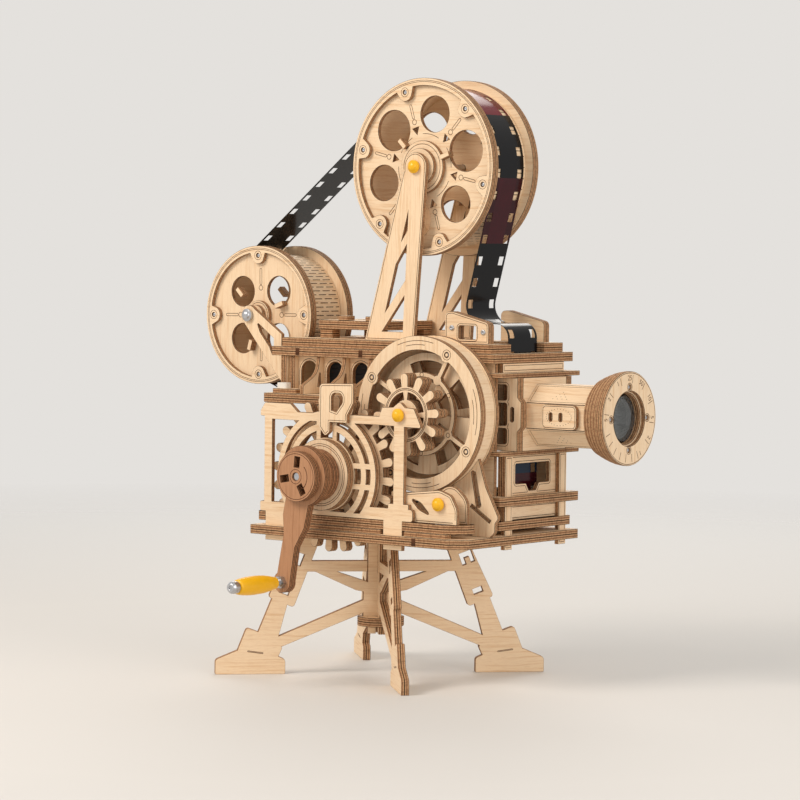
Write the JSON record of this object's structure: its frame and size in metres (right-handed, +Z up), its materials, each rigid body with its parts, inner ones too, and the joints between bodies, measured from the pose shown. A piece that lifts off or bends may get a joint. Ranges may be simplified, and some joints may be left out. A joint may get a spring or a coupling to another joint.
{
  "type": "hand cranked film projector kit",
  "caption": "Plywood film projector kit on a splayed stand: a hand crank and gears turn a shutter in its drum, film reels and a roller, and the lens slides to focus.",
  "frame": {"origin": "on the table that the feet stand on, straight below the hub where the two leg frames cross", "axes": "+X forward along the lens axis, +Z up, +Y away from the crank, so the crank is on the -Y side"},
  "size_m": [0.2629, 0.1691, 0.305],
  "materials": {
    "plywood": "bare laser cut plywood, pale faces and burnt edges",
    "dark_plywood": "bare plywood, browner faces and burnt edges",
    "steel": "bright plated rod and screws",
    "yellow_plastic": "glossy yellow",
    "film": "dark glossy film",
    "rubber": "black",
    "glass": "clear polished",
    "lamp_plastic": "milky clear",
    "black_plastic": "moulded",
    "white_plastic": "smooth moulded",
    "card_tube": "black sleeve"
  },
  "bodies": {
    "projector": {"leg_frame_left_right": "plywood", "leg_frame_front_back": "plywood", "leg_hub_disc": "plywood", "base_lower_plate": "plywood", "base_upper_plate": "plywood", "base_spacers": "plywood", "crank_side_frame": "plywood", "hook_bracket": "plywood", "crank_bearing_disc": "plywood", "idler_bracket": "plywood", "drum_front_ring": "plywood", "drum_spider": "plywood", "drum_wall": "plywood", "drum_back_plate": "plywood", "drum_brace": "plywood", "body_deck": "plywood", "near_wall": "plywood", "far_wall": "plywood", "rear_wall": "plywood", "gallery_supports": "plywood", "cornice_plate": "plywood", "roof_plate": "plywood", "front_shelves": "plywood", "front_panels": "plywood", "lens_mount": "plywood", "lens_barrel": "plywood", "lamp_holder": "plywood", "lamp": "lamp_plastic", "battery_box": "black_plastic", "battery_lid": "plywood", "switch_body": "plywood", "top_reel_stand": "plywood", "rear_reel_arms": "plywood", "film_guide_cheeks": "plywood", "film_gate": "plywood", "film_loop": "film", "drive_belt": "rubber"},
    "crank": {"crank_gear": "plywood", "crank_shaft": "steel", "crank_hub_stack": "dark_plywood", "crank_arm": "dark_plywood", "crank_front_disc": "dark_plywood", "handle_axle": "steel"},
    "grip": {"handle_grip": "yellow_plastic"},
    "shutter": {"shutter_shaft": "steel", "pinions": "plywood", "shutter_wheel": "plywood", "barrel_shutter": "plywood"},
    "top_reel": {"top_reel_flanges": "plywood", "top_reel_drum": "plywood", "top_reel_axle": "steel"},
    "rear_reel": {"rear_reel_flanges": "plywood", "rear_reel_drum": "plywood", "rear_reel_axle": "steel"},
    "roller": {"film_roller": "steel"},
    "lens": {"lens_ring": "plywood", "lens_tube": "card_tube", "lens_glass": "glass"},
    "switch": {"switch_knob": "white_plastic"}
  },
  "joints": [
    {"name": "crank_turn", "type": "hinge", "parent": "projector", "child": "crank", "pos_m": [0.0015, -0.047, 0.1049], "axis": [0, 1, 0], "continuous": true},
    {"name": "grip_spin", "type": "hinge", "parent": "crank", "child": "grip", "pos_m": [-0.01094, -0.09, 0.05102], "axis": [0, 1, 0], "continuous": true},
    {"name": "shutter_turn", "type": "hinge", "parent": "projector", "child": "shutter", "pos_m": [0.0481, 0, 0.1366], "axis": [0, 1, 0], "continuous": true},
    {"name": "roller_turn", "type": "hinge", "parent": "projector", "child": "roller", "pos_m": [0.0718, 0, 0.0937], "axis": [0, 1, 0], "continuous": true},
    {"name": "top_reel_turn", "type": "hinge", "parent": "projector", "child": "top_reel", "pos_m": [0.0253, 0.017, 0.26], "axis": [0, 1, 0], "continuous": true},
    {"name": "rear_reel_turn", "type": "hinge", "parent": "projector", "child": "rear_reel", "pos_m": [-0.085, 0.017, 0.1825], "axis": [0, 1, 0], "continuous": true},
    {"name": "lens_focus", "type": "slide", "parent": "projector", "child": "lens", "axis": [1, 0, 0], "range_m": [0, 0.006]},
    {"name": "switch_slide", "type": "slide", "parent": "projector", "child": "switch", "axis": [1, 0, 0], "range_m": [0, 0.006]}
  ],
  "couplings": [
    {"joint": "shutter_turn", "follows": "crank_turn", "ratio": -2},
    {"joint": "roller_turn", "follows": "crank_turn", "ratio": 2},
    {"joint": "top_reel_turn", "follows": "crank_turn", "ratio": 0.24785},
    {"joint": "rear_reel_turn", "follows": "crank_turn", "ratio": 0.31318}
  ]
}
